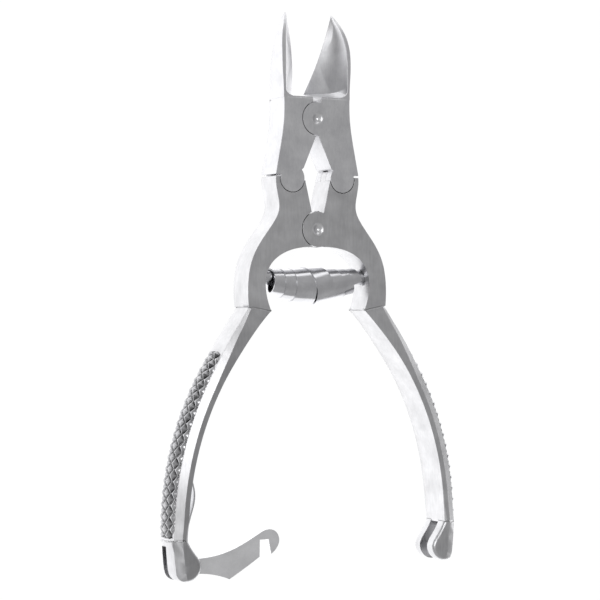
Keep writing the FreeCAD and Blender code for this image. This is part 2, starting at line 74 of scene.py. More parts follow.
def add_node(tree, kind, settings=None, inputs=None, links=None):
    """Node with its settings, its inputs' values and the sockets linked into it."""
    node = tree.nodes.new(kind)
    for name, value in (settings or {}).items():
        setattr(node, name, value)
    for name, value in (inputs or {}).items():
        node.inputs[name].default_value = value
    for name, socket in (links or {}).items():
        tree.links.new(socket, node.inputs[name])
    return node


def ground_steel(name, light, dark, roughness, grain_mm, streak, bump, edge_mm):
    """Ground steel: fine lines along the piece from the belt, and a cloudy change of gloss.

    The grain is drawn coarser than the belt's real grit, which would be too fine to show.
    """
    cloud_mm, relief_mm = 5.0, 0.02
    grain_share, gloss_change = 0.35, 0.05
    material = bpy.data.materials.new(name)
    material.use_nodes = True
    tree = material.node_tree
    shader = tree.nodes["Principled BSDF"]
    shader.inputs["Metallic"].default_value = 1.0
    place = add_node(tree, "ShaderNodeTexCoord")
    stretch = add_node(
        tree, "ShaderNodeMapping",
        inputs={"Scale": (1.0, streak, 1.0)}, links={"Vector": place.outputs["Object"]})
    grain = add_node(
        tree, "ShaderNodeTexNoise",
        inputs={"Scale": 1 / (grain_mm * MM), "Detail": 3.0, "Roughness": 0.6},
        links={"Vector": stretch.outputs["Vector"]})
    cloud = add_node(
        tree, "ShaderNodeTexNoise",
        inputs={"Scale": 1 / (cloud_mm * MM), "Detail": 3.0, "Roughness": 0.6},
        links={"Vector": place.outputs["Object"]})
    streaks = add_node(
        tree, "ShaderNodeMath", {"operation": "MULTIPLY"},
        inputs={1: grain_share}, links={0: grain.outputs["Fac"]})
    mixed = add_node(
        tree, "ShaderNodeMath", {"operation": "MULTIPLY_ADD"}, inputs={1: 1 - grain_share},
        links={0: cloud.outputs["Fac"], 2: streaks.outputs["Value"]})
    spread = add_node(
        tree, "ShaderNodeMapRange",
        inputs={"From Min": 0.35, "From Max": 0.65}, links={"Value": mixed.outputs["Value"]})
    tone = add_node(
        tree, "ShaderNodeMix", {"data_type": "RGBA"},
        links={"Factor": spread.outputs["Result"]})
    tone.inputs["A"].default_value = linear(dark)
    tone.inputs["B"].default_value = linear(light)
    tree.links.new(tone.outputs["Result"], shader.inputs["Base Color"])
    gloss = add_node(
        tree, "ShaderNodeMapRange",
        inputs={"To Min": roughness - gloss_change, "To Max": roughness + gloss_change},
        links={"Value": cloud.outputs["Fac"]})
    tree.links.new(gloss.outputs["Result"], shader.inputs["Roughness"])
    rounded = add_node(
        tree, "ShaderNodeBevel", {"samples": 4}, inputs={"Radius": edge_mm * MM})
    relief = add_node(
        tree, "ShaderNodeBump",
        inputs={"Strength": bump, "Distance": relief_mm * MM},
        links={"Height": grain.outputs["Fac"], "Normal": rounded.outputs["Normal"]})
    tree.links.new(relief.outputs["Normal"], shader.inputs["Normal"])
    return material


def finished(node_name, body, material, sharp_angle, reshape=None):
    """The node's shape as one welded skin with its true creases, in the node's place."""
    weld_distance, flat_angle = 0.001 * MM, math.radians(0.3)
    mesh = cad_nodes[node_name].data.copy()
    piece = bpy.data.objects.new("finished_" + node_name, mesh)
    bpy.context.scene.collection.objects.link(piece)
    skin = bmesh.new()
    skin.from_mesh(mesh)
    bmesh.ops.remove_doubles(skin, verts=skin.verts, dist=weld_distance)
    bmesh.ops.dissolve_limit(
        skin, angle_limit=flat_angle, verts=skin.verts, edges=skin.edges)
    if reshape:
        reshape(skin)
    skin.to_mesh(mesh)
    skin.free()
    mesh.materials.clear()
    mesh.materials.append(material)
    for face in mesh.polygons:
        face.use_smooth = True
    mesh.set_sharp_from_angle(angle=math.radians(sharp_angle))
    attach(piece, body)
    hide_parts(node_name)
    return piece


# Satin grey: soft wide highlights, faint streaks down the piece and thin bright edges
satin_forging = ground_steel(
    "satin_ground_forging", "#d4d4d6", "#bebec0",
    roughness=0.34, grain_mm=0.5, streak=0.12, bump=0.25, edge_mm=0.15)
# Painted shade: the grips' up-facing front flats are darkened, more towards the foot and the left
shaded_flats = satin_forging.node_tree
shader = shaded_flats.nodes["Principled BSDF"]
place = add_node(shaded_flats, "ShaderNodeTexCoord")
facing = add_node(shaded_flats, "ShaderNodeSeparateXYZ", links={"Vector": place.outputs["Normal"]})
spot = add_node(shaded_flats, "ShaderNodeSeparateXYZ", links={"Vector": place.outputs["Object"]})
flat = add_node(
    shaded_flats, "ShaderNodeMapRange", inputs={"From Min": 0.95, "From Max": 0.99},
    links={"Value": facing.outputs["Z"]})
below = add_node(
    shaded_flats, "ShaderNodeMapRange", inputs={"From Min": -14 * MM, "From Max": -34 * MM},
    links={"Value": spot.outputs["Y"]})
left_more = add_node(
    shaded_flats, "ShaderNodeMapRange",
    inputs={"From Min": 10 * MM, "From Max": -10 * MM, "To Min": 0.2, "To Max": 1.0},
    links={"Value": spot.outputs["X"]})
lower = add_node(
    shaded_flats, "ShaderNodeMath", {"operation": "MULTIPLY"},
    links={0: below.outputs["Result"], 1: left_more.outputs["Result"]})
lower_flat = add_node(
    shaded_flats, "ShaderNodeMath", {"operation": "MULTIPLY"},
    links={0: flat.outputs["Result"], 1: lower.outputs["Value"]})
# The painted shade takes up to 28% off the flats' colour
painted_shade = add_node(
    shaded_flats, "ShaderNodeMapRange", inputs={"To Min": 1.0, "To Max": 0.72},
    links={"Value": lower_flat.outputs["Value"]})
shaded_colour = add_node(
    shaded_flats, "ShaderNodeVectorMath", {"operation": "SCALE"},
    links={
        0: shader.inputs["Base Color"].links[0].from_socket, "Scale": painted_shade.outputs["Result"]})
shaded_flats.links.new(shaded_colour.outputs["Vector"], shader.inputs["Base Color"])

# Places on a grip are an angle round its centre, a height over its inner face and a place across
grip_radius, grip_centre_x, grip_centre_y = 70.2, -33.1, -73.0
grip_top, grip_end = 48.4, -1.5
arm_depth = 5.2
grip_skew = 3.0 / arm_depth
panel_start, panel_end = -1.2, 35.5
joint_middle = 3.75


def eased(table, at):
    """Value of the smooth curve through a table's rows, each row being a place and its value."""
    low = max(i for i in range(len(table) - 1) if i == 0 or table[i][0] <= at)
    (x0, y0), (x1, y1) = table[low], table[low + 1]
    before = table[low - 1] if low else (x0 - (x1 - x0), y0 - (y1 - y0))
    after = table[low + 2] if low + 2 < len(table) else (x1 + (x1 - x0), y1 + (y1 - y0))
    t = min(1.0, max(0.0, (at - x0) / (x1 - x0)))
    slope0 = (y1 - before[1]) / (x1 - before[0]) * (x1 - x0)
    slope1 = (after[1] - y0) / (after[0] - x0) * (x1 - x0)
    return ((2 * t ** 3 - 3 * t ** 2 + 1) * y0 + (t ** 3 - 2 * t ** 2 + t) * slope0
            + (3 * t ** 2 - 2 * t ** 3) * y1 + (t ** 3 - t ** 2) * slope1)


def around_grip(place, side):
    """A point's angle, height and place across on a side's grip, in degrees and mm."""
    x, y = side * place.x / MM - grip_centre_x, place.y / MM - grip_centre_y
    height = math.hypot(x, y) - grip_radius
    return math.degrees(math.atan2(y, x)), height, place.z / MM - joint_middle


def on_grip(angle, height, across, side):
    """The point at an angle, height and place across on a side's grip."""
    turn, radius = math.radians(angle), grip_radius + height
    x = grip_centre_x + radius * math.cos(turn)
    y = grip_centre_y + radius * math.sin(turn)
    return Vector((side * x, y, joint_middle + across)) * MM


def skin_rows(skin, rows, side):
    """Joins rings of points into a tube of faces that looks outwards on either side."""
    grid = [[skin.verts.new(point) for point in row] for row in rows]
    columns = len(rows[0])
    for upper, lower in zip(grid, grid[1:]):
        for k in range(columns):
            after = (k + 1) % columns
            corners = [upper[k], upper[after], lower[after], lower[k]]
            skin.faces.new(corners if side > 0 else corners[::-1])


def grip_ring(angle, side):
    """Points round the grip: inner face, front flat, bevel, crowned face, bevel and back flat."""
    inner = eased([
        (-3, -0.35), (-1.5, -0.17), (1, -0.3), (6, -0.4), (37, -0.4), (42, -0.25),
        (48.4, 0.15)], angle)
    half = eased([
        (-2, 4.5), (34, 4.5), (37.5, 4.42), (41, 4.15), (45, 3.85), (47.4, 3.76),
        (48.4, 3.755)], angle)
    flat = eased([
        (-3, 1.5), (-1.5, 1.47), (3, 1.0), (27, 1.0), (31, 1.2), (36, 1.9), (40, 2.75),
        (48.4, 4.52)], angle)
    edge = eased([
        (-3, 3.3), (-1.5, 3.34), (2, 3.0), (30, 3.0), (36, 3.5), (41, 4.1), (48.4, 4.99)], angle)
    edge_half = eased([(-2, 3.62), (2, 3.568), (35, 3.568), (41, 3.5), (48.4, 3.37)], angle)
    crown = eased([
        (-3, 4.45), (-1.2, 4.45), (3, 4.1), (35.5, 4.1), (38, 4.3), (41, 4.6), (45, 5.0),
        (48.4, 5.2)], angle)
    rounding = eased([(-3, 0.75), (-1.5, 0.75), (3, 0.14), (40, 0.12), (48.4, 0.04)], angle)
    core_edge, core_half, core_crown = 3.36, 3.568, 3.4
    if panel_start < angle < panel_end:
        # The core stays below the knurling, which is a piece of its own
        edge, edge_half, crown = min(edge, core_edge), core_half, core_crown
    tuck_in, tuck_across = 0.03, 0.02
    if angle > grip_top or angle < grip_end:
        # The first and last rings are tucked under the arm's and the foot's skin
        inner, half, flat = inner + tuck_in, half - tuck_across, flat - tuck_across
        edge, edge_half, crown = edge - tuck_in, edge_half - tuck_across, crown - tuck_in
    middle = 0.29 * rounding
    ring = [
        (inner + rounding, -half), (inner + middle, middle - half), (inner, rounding - half),
        (inner, 0), (inner, half - rounding), (inner + middle, half - middle),
        (inner + rounding, half), (flat, half), (edge, edge_half)]
    crown_steps = 8
    for step in range(1, crown_steps):
        place = 1 - 2 * step / crown_steps
        ring.append((edge + (crown - edge) * (1 - place ** 2), edge_half * place))
    ring += [(edge, -edge_half), (flat, -half)]
    skew_start = 42
    skew = grip_skew * min(1.0, max(0.0, (angle - skew_start) / (grip_top - skew_start)))
    return [on_grip(angle - skew * height, height, across, side) for height, across in ring]


def close_bore(skin, x, y, radius):
    """Closes a bore's two ends: its pin is peened and ground flush, so no joint line shows."""
    least_half = 3.3

    def near(vertex):
        return math.hypot(vertex.co.x / MM - x, vertex.co.y / MM - y) < radius

    bore = [face for face in skin.faces if all(near(v) for v in face.verts)]
    bmesh.ops.delete(skin, geom=bore, context="FACES")
    rims = [
        edge for edge in skin.edges if edge.is_boundary and all(
            near(v) and abs(v.co.z / MM - joint_middle) > least_half for v in edge.verts)]
    bmesh.ops.holes_fill(skin, edges=rims, sides=0)


def with_new_grip(side):
    """Keeps the arm and the foot, and draws the grip between them with its widening bevels."""
    arm_half, old_half, new_half, neck_start = 3.75, 4.3, 4.5, 44
    inner_shift, inner_more, fade_angle, fade_height = 0.1, 0.4, 4, 3.0
    foot_crown, foot_crown_half, foot_crown_start = 0.9, 3.5, 2.4
    foot_pin_x, foot_pin_y, foot_pin_reach = 37.0, -81.9, 1.6
    ring_count, tuck_up, tuck_down = 120, 0.5, 0.4

    def reshape(skin):
        centre = Vector((side * grip_centre_x, grip_centre_y, 0)) * MM
        turn = math.radians(grip_end)
        foot_cut = centre, Vector((side * -math.sin(turn), math.cos(turn), 0))
        arm_spot = on_grip(grip_top, 0, 0, side)
        along = on_grip(grip_top - arm_depth * grip_skew, arm_depth, 0, side) - arm_spot
        arm_normal = Vector((-along.y, along.x, 0)).normalized() * side
        cuts = [foot_cut, (arm_spot, arm_normal)]
        # Rows of points across the foot's outer face let it take its crown
        for across in (-2.7, -1.9, 1.9, 2.7):
            cuts.append((Vector((0, 0, joint_middle + across)) * MM, Vector((0, 0, 1))))
        for spot, normal in cuts:
            whole = skin.verts[:] + skin.edges[:] + skin.faces[:]
            bmesh.ops.bisect_plane(skin, geom=whole, dist=1e-7, plane_co=spot, plane_no=normal)
        grip_faces = []
        for face in skin.faces:
            spot = face.calc_center_median()
            below_arm = (spot - arm_spot).dot(arm_normal) < 0
            above_foot = around_grip(spot, side)[0] > grip_end and side * spot.x > 5 * MM
            if below_arm and above_foot:
                grip_faces.append(face)
        bmesh.ops.delete(skin, geom=grip_faces, context="FACES")
        for vertex in skin.verts:
            angle, height, across = around_grip(vertex.co, side)
            if angle < grip_end + 0.01 and side * vertex.co.x > 0:
                # The foot's inner face moves in with the grip's, and its outer face is crowned
                inwards = inner_shift + inner_more * min(1.0, (grip_end - angle) / fade_angle)
                inwards *= 1 - min(fade_height, max(0.0, height)) / fade_height
                outwards = foot_crown * max(0.0, 1 - (across / foot_crown_half) ** 2)
                outwards *= min(1.0, max(0.0, height - foot_crown_start))
                across *= new_half / old_half
                vertex.co = on_grip(angle, height - inwards + outwards, across, side)
            elif angle > neck_start and abs(across) > arm_half:
                vertex.co.z = (joint_middle + math.copysign(arm_half, across)) * MM
        angles = [grip_top + tuck_up]
        for i in range(ring_count + 1):
            angles.append(grip_top + (grip_end - grip_top) * i / ring_count)
        angles.append(grip_end - tuck_down)
        skin_rows(skin, [grip_ring(angle, side) for angle in angles], side)
        close_bore(skin, side * foot_pin_x, foot_pin_y, foot_pin_reach)
    return reshape


for side, name in ((-1, "left"), (1, "right")):
    handle = finished(
        name + "_handle", name + "_half", satin_forging, sharp_angle=24,
        reshape=with_new_grip(side))


# Grip knurling
# Two crossing sets of V grooves are cut across each grip's crown and leave rows of sharp pyramids.
# The knurling is of the same forging, not ground afterwards, so its flanks stay darker.

knurled_steel = ground_steel(
    "knurled_forging", "#c8c8ca", "#b4b4b7",
    roughness=0.24, grain_mm=0.3, streak=1.0, bump=0.1, edge_mm=0.02)
# Painted shade: the colour is darkened by how closed in each point is, nearly black in the grooves
groove_shade_tree = knurled_steel.node_tree
shader = groove_shade_tree.nodes["Principled BSDF"]
groove_occlusion = add_node(
    groove_shade_tree, "ShaderNodeAmbientOcclusion", {"samples": 8}, inputs={"Distance": 1.2 * MM})
groove_darkening = add_node(
    groove_shade_tree, "ShaderNodeMapRange",
    inputs={"From Min": 0.72, "From Max": 0.98, "To Min": 0.05, "To Max": 1.0},
    links={"Value": groove_occlusion.outputs["AO"]})
groove_shaded_colour = add_node(
    groove_shade_tree, "ShaderNodeVectorMath", {"operation": "SCALE"},
    links={
        0: shader.inputs["Base Color"].links[0].from_socket, "Scale": groove_darkening.outputs["Result"]})
groove_shade_tree.links.new(groove_shaded_colour.outputs["Vector"], shader.inputs["Base Color"])

panel_edge_height, panel_crown, crown_half, panel_half = 3.75, 0.9, 3.2, 3.55
bevel_fall, end_height = 2.65 / 1.3, 3.1
groove_wall_angle, diagonal = 50, 0.7071
crest_radius = grip_radius + panel_edge_height + panel_crown
panel_length = math.radians(panel_end - panel_start) * crest_radius
knurl = bpy.data.node_groups.new("crossed grooves", "GeometryNodeTree")
knurl.interface.new_socket("Geometry", in_out="INPUT", socket_type="NodeSocketGeometry")
knurl_sizes = {}
wall_slope = diagonal / math.tan(math.radians(groove_wall_angle))
for label, value in (
        ("Length", panel_length * MM), ("Width", 2 * panel_half * MM), ("Pitch", 2.9 * MM),
        ("Depth", 0.75 * MM), ("Wall Slope", wall_slope)):
    socket = knurl.interface.new_socket(label, in_out="INPUT", socket_type="NodeSocketFloat")
    knurl_sizes[socket.identifier] = value
socket = knurl.interface.new_socket("Material", in_out="INPUT", socket_type="NodeSocketMaterial")
knurl_sizes[socket.identifier] = knurled_steel
knurl.interface.new_socket("Geometry", in_out="OUTPUT", socket_type="NodeSocketGeometry")
given = add_node(knurl, "NodeGroupInput")
sheet = add_node(
    knurl, "GeometryNodeMeshGrid", inputs={"Vertices X": 401, "Vertices Y": 61},
    links={"Size X": given.outputs["Length"], "Size Y": given.outputs["Width"]})
where = add_node(knurl, "GeometryNodeInputPosition")
parts = add_node(knurl, "ShaderNodeSeparateXYZ", links={"Vector": where.outputs["Position"]})
half_pitch = add_node(
    knurl, "ShaderNodeMath", {"operation": "MULTIPLY"}, inputs={1: 0.5},
    links={0: given.outputs["Pitch"]})
cuts = []
for operation in ("ADD", "SUBTRACT"):
    slanted = add_node(
        knurl, "ShaderNodeMath", {"operation": operation},
        links={0: parts.outputs["X"], 1: parts.outputs["Y"]})
    beside = add_node(
        knurl, "ShaderNodeMath", {"operation": "PINGPONG"},
        links={0: slanted.outputs["Value"], 1: half_pitch.outputs["Value"]})
    wall = add_node(
        knurl, "ShaderNodeMath", {"operation": "MULTIPLY"},
        links={0: beside.outputs["Value"], 1: given.outputs["Wall Slope"]})
    cuts.append(add_node(
        knurl, "ShaderNodeMath", {"operation": "SUBTRACT"},
        links={0: given.outputs["Depth"], 1: wall.outputs["Value"]}))
deeper = add_node(
    knurl, "ShaderNodeMath", {"operation": "MAXIMUM"},
    links={0: cuts[0].outputs["Value"], 1: cuts[1].outputs["Value"]})
groove = add_node(
    knurl, "ShaderNodeMath", {"operation": "MAXIMUM"}, inputs={1: 0.0},
    links={0: deeper.outputs["Value"]})
downwards = add_node(
    knurl, "ShaderNodeVectorMath", {"operation": "SCALE"}, inputs={0: (0, 0, -1)},
    links={"Scale": groove.outputs["Value"]})
cut_sheet = add_node(
    knurl, "GeometryNodeSetPosition",
    links={"Geometry": sheet.outputs["Mesh"], "Offset": downwards.outputs["Vector"]})
painted = add_node(
    knurl, "GeometryNodeSetMaterial",
    links={"Geometry": cut_sheet.outputs["Geometry"], "Material": given.outputs["Material"]})
add_node(knurl, "NodeGroupOutput", links={"Geometry": painted.outputs["Geometry"]})
for side, name in ((-1, "left"), (1, "right")):
    panel = bpy.data.objects.new(name + "_grip_knurling", bpy.data.meshes.new(name + "_knurling"))
    bpy.context.scene.collection.objects.link(panel)
    cutting = panel.modifiers.new("cutting", "NODES")
    cutting.node_group = knurl
    for identifier, value in knurl_sizes.items():
        cutting[identifier] = value
    bpy.context.view_layer.update()
    cut_mesh = bpy.data.meshes.new_from_object(
        panel.evaluated_get(bpy.context.evaluated_depsgraph_get()))
    panel.modifiers.clear()
    panel.data = cut_mesh
    for vertex in cut_mesh.vertices:
        along, across, rise = vertex.co / MM
        crown = panel_edge_height + panel_crown * (1 - (across / crown_half) ** 2)
        bevel = panel_edge_height - (abs(across) - crown_half) * bevel_fall
        height = min(crown + rise, bevel)
        if abs(along) > panel_length / 2 - 0.01:
            # The panel's first and last rows go down into the core and close its ends
            height = end_height
        angle = panel_start + math.degrees((along + panel_length / 2) / crest_radius)
        vertex.co = on_grip(angle, height, across, side)
    if side < 0:
        cut_mesh.flip_normals()
    for face in cut_mesh.polygons:
        face.use_smooth = False
    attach(panel, name + "_half")


# Jaws
# Each jaw is forged of the same steel and hardened, then hollow ground on its front like a chisel.
# Its edge is honed on a facet, and the grinding wheel leaves it brighter than the forging.

jaw_pivot_y, jaw_opening = 27.6, math.radians(13.9)
blade_start, blade_end = 5.0, 26.65


def blade_section(rise, side):
    """Points round the blade at a height above the pivot: edge, facet, hollow, rim, wall, back."""
    edge_level, edge_bend, edge_top = -0.45, 0.0153, 26
    x_edge = rise * math.tan(jaw_opening)
    z_edge = edge_level - edge_bend * (edge_top - rise) ** 2
    x_wall = eased([
        (5, 9.5), (7, 9.5), (9, 9.6), (11, 9.76), (13, 9.84), (15, 9.85), (17, 9.79), (19, 9.58),
        (20.5, 9.31), (22, 8.87), (23.5, 8.3), (25, 7.64), (26, 7.1), (26.65, 6.66)], rise)
    x_rim = eased([
        (5, 8.95), (9, 8.92), (13, 8.87), (17, 8.75), (19, 8.55), (20.5, 8.31), (22, 7.98),
        (23.5, 7.53), (25, 7.0), (26, 6.7), (26.65, 6.61)], rise)
    z_rim = eased([
        (5, 3.75), (11, 3.75), (14, 3.74), (17, 3.55), (19, 3.2), (20.5, 2.82), (22, 2.35),
        (23.5, 1.7), (25, 0.85), (26, 0.2), (26.65, -0.3)], rise)
    z_back = eased([
        (5, -3.74), (7, -3.6), (10, -3.1), (13, -2.4), (16, -1.6), (19, -0.9), (22, -0.6),
        (25, -0.8), (26.65, -0.65)], rise)
    # The facet fades out where its lower and upper parts meet
    facet_waist = 15
    if rise < facet_waist:
        facet = eased([(5, 0.66), (7.3, 0.58), (9.65, 0.42), (15, 0.015)], rise)
    else:
        facet = eased([
            (15, 0.015), (17.3, 0.09), (19, 0.22), (20.6, 0.34), (22.8, 0.42), (24.8, 0.5),
            (26.65, 0.6)], rise)
    reach = math.hypot(x_rim - x_edge, z_rim - z_edge)
    slope = math.atan2(z_rim - z_edge, x_rim - x_edge)
    full_sag, full_reach = 0.8, 7
    sag = full_sag * min(1.0, reach / full_reach)

    def on_hollow(share):
        drop = 4 * sag * share * (1 - share)
        return (x_edge + (x_rim - x_edge) * share + drop * math.sin(slope),
                z_edge + (z_rim - z_edge) * share - drop * math.cos(slope))

    x_facet, z_facet = on_hollow(facet)
    facet_steps, hollow_steps, inner_steps, wall_steps, back_steps = 12, 28, 4, 6, 16
    front = []
    for step in range(facet_steps + 1):
        share = step / facet_steps
        front.append((x_edge + (x_facet - x_edge) * share, z_edge + (z_facet - z_edge) * share))
    for step in range(1, hollow_steps + 1):
        front.append(on_hollow(facet + (1 - facet) * step / hollow_steps))
    # The hollow starts at a ledge over the joint, which curves up into the rim
    ledge_start, ledge_rise, ledge_height, ledge_limit = 5.4, 1.9, 1.5, 9
    curve_start, curve_end = 6.0, 8.9
    joint_front, first_fall = 3.75, 0.3
    stepped = []
    for x, z in front:
        corner = min(1.0, max(0.0, (x - curve_start) / (curve_end - curve_start)))
        ledge = ledge_start + ledge_rise * (1 - math.sqrt(1 - corner ** 2))
        fall = min(1.0, max(0.0, (rise - ledge) / ledge_height))
        if fall > 0:
            fall = first_fall + (1 - first_fall) * fall * (1.25 - 0.25 * fall)
        stepped.append((x, joint_front - (joint_front - z) * fall if rise < ledge_limit else z))
    edge_thickness = 0.12
    low = z_edge - edge_thickness
    inner_wall = [
        (x_edge, low + (stepped[0][1] - low) * k / inner_steps) for k in range(inner_steps)]
    wall = [(x_wall, z_rim + (z_back - z_rim) * k / wall_steps) for k in range(wall_steps + 1)]
    # The back is crowned, and more so towards the heel
    crown = 0.3 + 0.035 * (27.45 - rise)
    back = []
    for k in range(1, back_steps):
        share = k / back_steps
        back.append((
            x_wall + (x_edge - x_wall) * share,
            z_back + (low - z_back) * share - 4 * crown * share * (1 - share)))
    points = inner_wall + stepped + wall + back
    return [Vector((side * x, jaw_pivot_y + rise, joint_middle + z)) * MM for x, z in points]


def with_ground_blade(side):
    """Keeps the jaw's joint and tail, and draws the hollow-ground blade with facets and ledge."""
    knuckle_x, knuckle_y, knuckle_reach = 7.2, 12.6, 1.35
    heel_start, heel_width = 1.2, 8.2

    def reshape(skin):
        cut = Vector((0, jaw_pivot_y + blade_start, 0)) * MM
        whole = skin.verts[:] + skin.edges[:] + skin.faces[:]
        bmesh.ops.bisect_plane(
            skin, geom=whole, dist=1e-7, plane_co=cut, plane_no=(0, 1, 0), clear_outer=True)
        for vertex in skin.verts:
            x, y, z = side * vertex.co.x / MM, vertex.co.y / MM, vertex.co.z / MM
            if z < -0.01 and y > jaw_pivot_y:
                outwards = min(1.0, max(0.0, (x - heel_start) / heel_width))
                vertex.co.z = z * (1 - outwards) * MM
        # Close rows over the ledge, wider ones up the hollow, and close ones again at the tip
        rises = [5.0, 5.35] + [5.4 + 0.1 * k for k in range(21)]
        rises += [7.6 + 0.2 * k for k in range(94)] + [26.35, 26.5, 26.6, blade_end]
        skin_rows(skin, [blade_section(rise, side) for rise in rises], side)
        bmesh.ops.remove_doubles(skin, verts=skin.verts, dist=0.002 * MM)
        close_bore(skin, side * knuckle_x, knuckle_y, knuckle_reach)
    return reshape


# Wheel-ground hollow: lighter than the forging, with a soft sheen that follows the curve
honed_steel = ground_steel(
    "hollow_ground_steel", "#dcdcde", "#c8c8cb",
    roughness=0.38, grain_mm=0.35, streak=0.3, bump=0.15, edge_mm=0.2)
# The ledge over the joint is left by the wheel's corner and is matt; its lighter colour is a
# painted highlight
ledge_highlight_steel = ground_steel(
    "ledge_painted_highlight", "#f6f6f8", "#ececee",
    roughness=0.55, grain_mm=0.3, streak=1.0, bump=0.1, edge_mm=0.12)
for side, name in ((-1, "left"), (1, "right")):
    jaw = finished(
        name + "_jaw", name + "_jaw_body", honed_steel, sharp_angle=20,
        reshape=with_ground_blade(side))
    jaw.data.materials.append(ledge_highlight_steel)
    for face in jaw.data.polygons:
        # Ledge faces that look up and towards the tip take the lighter steel, as a painted
        # highlight
        on_ledge = 5.4 < face.center.y / MM - jaw_pivot_y < 7.2
        if on_ledge and face.normal.y > 0.35 and face.normal.z > 0.05:
            face.material_index = 1


# Pivot pins, knuckle pins and foot pins
# They are peened rivets, ground off flush with the joint.
# The two pivots have a dimple punched in the front; the other pins' ends don't show.

# Bright rivet steel: the punch leaves the dimple smoother than the ground face round it
peened_steel = ground_steel(
    "peened_rivet_steel", "#dcdcde", "#cfcfd1",
    roughness=0.30, grain_mm=0.4, streak=1.0, bump=0.1, edge_mm=0.05)
for name, body in (
        ("jaw_pivot_pin", "right_jaw_body"), ("handle_pivot_pin", "right_half"),
        ("leaf_spring_rivet", "left_half")):
    pin = finished(name, body, peened_steel, sharp_angle=60)


def sunk(skin):
    """A flush pin, whose ends lie just under the skin that its peening and grinding closed."""
    kept_length = 0.93
    for vertex in skin.verts:
        vertex.co.z = (joint_middle + kept_length * (vertex.co.z / MM - joint_middle)) * MM


for name, body in (
        ("strap_pivot_pin", "left_half"), ("catch_pin", "right_half"),
        ("left_knuckle_pin", "left_jaw_body"), ("right_knuckle_pin", "right_jaw_body")):
    pin = finished(name, body, satin_forging, sharp_angle=24, reshape=sunk)


# Lock strap
# The strap is stamped from sheet, tumbled and satined, and hangs on the left foot's pin.
# Tumbling leaves it lighter and more even than the ground handles, without streaks.

tumbled_sheet = ground_steel(
    "tumbled_sheet_steel", "#f0f0f2", "#e2e2e4",
    roughness=0.42, grain_mm=0.3, streak=1.0, bump=0.15, edge_mm=0.15)
strap = finished("lock_strap", "strap_body", tumbled_sheet, sharp_angle=24)


# Spring studs and leaf spring
# The studs are turned pegs in the arch's walls; the leaf spring is a strip of rolled spring steel.
# It is riveted to the left grip's inner face and bows away from it.

# Bright rolled strip: the smoothest steel here, so it mirrors the white table and the grey round it
rolled_strip = ground_steel(
    "rolled_spring_strip", "#d4d4d7", "#c2c2c5",
    roughness=0.22, grain_mm=0.3, streak=1.0, bump=0.1, edge_mm=0.08)


def on_new_face(skin):
    """Moves the leaf onto the drawn grip's inner face, which lies a little further in."""
    shift, fade_start, fade_length = 0.4, -3, 8
    for vertex in skin.verts:
        angle, height, across = around_grip(vertex.co, -1)
        share = min(1.0, max(0.0, (angle - fade_start) / fade_length))
        vertex.co = on_grip(angle, height - shift * share, across, -1)


for name, body, reshape in (
        ("left_spring_stud", "left_half", None), ("right_spring_stud", "right_half", None),
        ("strap_leaf_spring", "left_half", on_new_face)):
    springy = finished(name, body, rolled_strip, sharp_angle=24, reshape=reshape)


# Barrel spring
# One strip of the same rolled steel, wound out from the middle both ways as a double volute.
# Each turn sits inside the next like a cup, so the spring shows as a stack of lipped rings.

spring_turns, spring_steps = 6.6, 330
spring_mid_radius, radius_step = 4.5, 0.52
spring_sag, spring_drop, arch_half_span = 2.1, 12.0, 15.0
turn_advance, middle_gap, gap_turns, tip_turns = 2.85, 1.45, 0.25, 0.1
strip_tilt, tilt_turns, blend_half_span = math.radians(7), 0.4, 13.0


def spring_point(turn):
    """Point of the strip's middle line with the spring's axis on Z, by turns from the middle."""
    gap = middle_gap * (1 - math.exp(-(turn / gap_turns) ** 2))
    apart = turn_advance * abs(turn) + gap
    radius = spring_mid_radius - radius_step * (math.hypot(turn, tip_turns) - tip_turns)
    angle = 2 * math.pi * turn
    return Vector((radius * math.sin(angle), radius * math.cos(angle), math.copysign(apart, turn)))


path = bpy.data.curves.new("spring_path", "CURVE")
path.dimensions = "3D"
line = path.splines.new("POLY")
line.points.add(spring_steps)
for i in range(spring_steps + 1):
    turn = (i / spring_steps - 0.5) * spring_turns
    line.points[i].co = (*(spring_point(turn) * MM), 1.0)
    line.points[i].tilt = strip_tilt * math.tanh(turn / tilt_turns)
coil = bpy.data.objects.new("spring_coil", path)
bpy.context.scene.collection.objects.link(coil)

strip = bpy.data.node_groups.new("strip along a path", "GeometryNodeTree")
strip.interface.new_socket("Geometry", in_out="INPUT", socket_type="NodeSocketGeometry")
strip_sizes = {}
for label, value in (("Strip Width", 5.2 * MM), ("Strip Thickness", 0.4 * MM)):
    socket = strip.interface.new_socket(label, in_out="INPUT", socket_type="NodeSocketFloat")
    strip_sizes[socket.identifier] = value
socket = strip.interface.new_socket("Material", in_out="INPUT", socket_type="NodeSocketMaterial")
strip_sizes[socket.identifier] = rolled_strip
strip.interface.new_socket("Geometry", in_out="OUTPUT", socket_type="NodeSocketGeometry")
given = add_node(strip, "NodeGroupInput")
section = add_node(
    strip, "GeometryNodeCurvePrimitiveQuadrilateral",
    links={"Width": given.outputs["Strip Thickness"], "Height": given.outputs["Strip Width"]})
upright = add_node(
    strip, "GeometryNodeSetCurveNormal", {"mode": "Z_UP"},
    links={"Curve": given.outputs["Geometry"]})
swept = add_node(
    strip, "GeometryNodeCurveToMesh", inputs={"Fill Caps": True},
    links={"Curve": upright.outputs["Curve"], "Profile Curve": section.outputs["Curve"]})
painted = add_node(
    strip, "GeometryNodeSetMaterial",
    links={"Geometry": swept.outputs["Mesh"], "Material": given.outputs["Material"]})
add_node(strip, "NodeGroupOutput", links={"Geometry": painted.outputs["Geometry"]})
winding = coil.modifiers.new("winding", "NODES")
winding.node_group = strip
for identifier, value in strip_sizes.items():
    winding[identifier] = value
bpy.context.view_layer.update()
wound = bpy.data.meshes.new_from_object(coil.evaluated_get(bpy.context.evaluated_depsgraph_get()))
bpy.data.objects.remove(coil)

